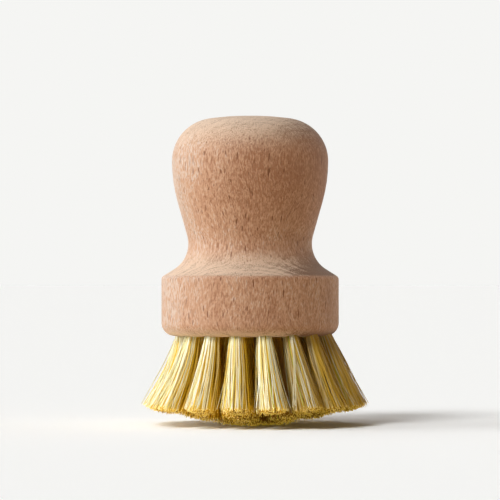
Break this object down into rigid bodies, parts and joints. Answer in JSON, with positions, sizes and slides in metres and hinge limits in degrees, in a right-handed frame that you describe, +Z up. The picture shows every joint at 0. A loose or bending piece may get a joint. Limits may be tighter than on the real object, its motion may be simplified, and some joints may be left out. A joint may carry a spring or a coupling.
{
  "type": "pot brush",
  "caption": "Hand-held pot brush: a turned wooden knob and round block, with fanned tufts of stiff plant fibre stapled into holes under it, for scrubbing pots and pans.",
  "frame": {"origin": "on the floor that the brush stands on, under the middle of the pattern of tufts", "axes": "+Z up along the handle, from the bristle tips to the knob; -Y is the side that the picture shows"},
  "size_m": [0.0637, 0.064, 0.0869],
  "materials": {
    "beech": "plain turned beech, unvarnished, fine dark flecks",
    "plant_fibre": "pale stiff plant fibre, slight sheen",
    "steel_wire": "bright drawn wire"
  },
  "bodies": {
    "root": {"handle": "beech", "outer_tuft_01": "plant_fibre", "outer_tuft_02": "plant_fibre", "outer_tuft_03": "plant_fibre", "outer_tuft_04": "plant_fibre", "outer_tuft_05": "plant_fibre", "outer_tuft_06": "plant_fibre", "outer_tuft_07": "plant_fibre", "outer_tuft_08": "plant_fibre", "outer_tuft_09": "plant_fibre", "outer_tuft_10": "plant_fibre", "outer_tuft_11": "plant_fibre", "outer_tuft_12": "plant_fibre", "outer_tuft_13": "plant_fibre", "outer_tuft_14": "plant_fibre", "outer_tuft_15": "plant_fibre", "outer_tuft_16": "plant_fibre", "outer_tuft_17": "plant_fibre", "middle_tuft_01": "plant_fibre", "middle_tuft_02": "plant_fibre", "middle_tuft_03": "plant_fibre", "middle_tuft_04": "plant_fibre", "middle_tuft_05": "plant_fibre", "middle_tuft_06": "plant_fibre", "middle_tuft_07": "plant_fibre", "middle_tuft_08": "plant_fibre", "inner_tuft_01": "plant_fibre", "inner_tuft_02": "plant_fibre", "inner_tuft_03": "plant_fibre", "inner_tuft_04": "plant_fibre", "outer_staple_01": "steel_wire", "outer_staple_02": "steel_wire", "outer_staple_03": "steel_wire", "outer_staple_04": "steel_wire", "outer_staple_05": "steel_wire", "outer_staple_06": "steel_wire", "outer_staple_07": "steel_wire", "outer_staple_08": "steel_wire", "outer_staple_09": "steel_wire", "outer_staple_10": "steel_wire", "outer_staple_11": "steel_wire", "outer_staple_12": "steel_wire", "outer_staple_13": "steel_wire", "outer_staple_14": "steel_wire", "outer_staple_15": "steel_wire", "outer_staple_16": "steel_wire", "outer_staple_17": "steel_wire", "middle_staple_01": "steel_wire", "middle_staple_02": "steel_wire", "middle_staple_03": "steel_wire", "middle_staple_04": "steel_wire", "middle_staple_05": "steel_wire", "middle_staple_06": "steel_wire", "middle_staple_07": "steel_wire", "middle_staple_08": "steel_wire", "inner_staple_01": "steel_wire", "inner_staple_02": "steel_wire", "inner_staple_03": "steel_wire", "inner_staple_04": "steel_wire"}
  },
  "joints": []
}
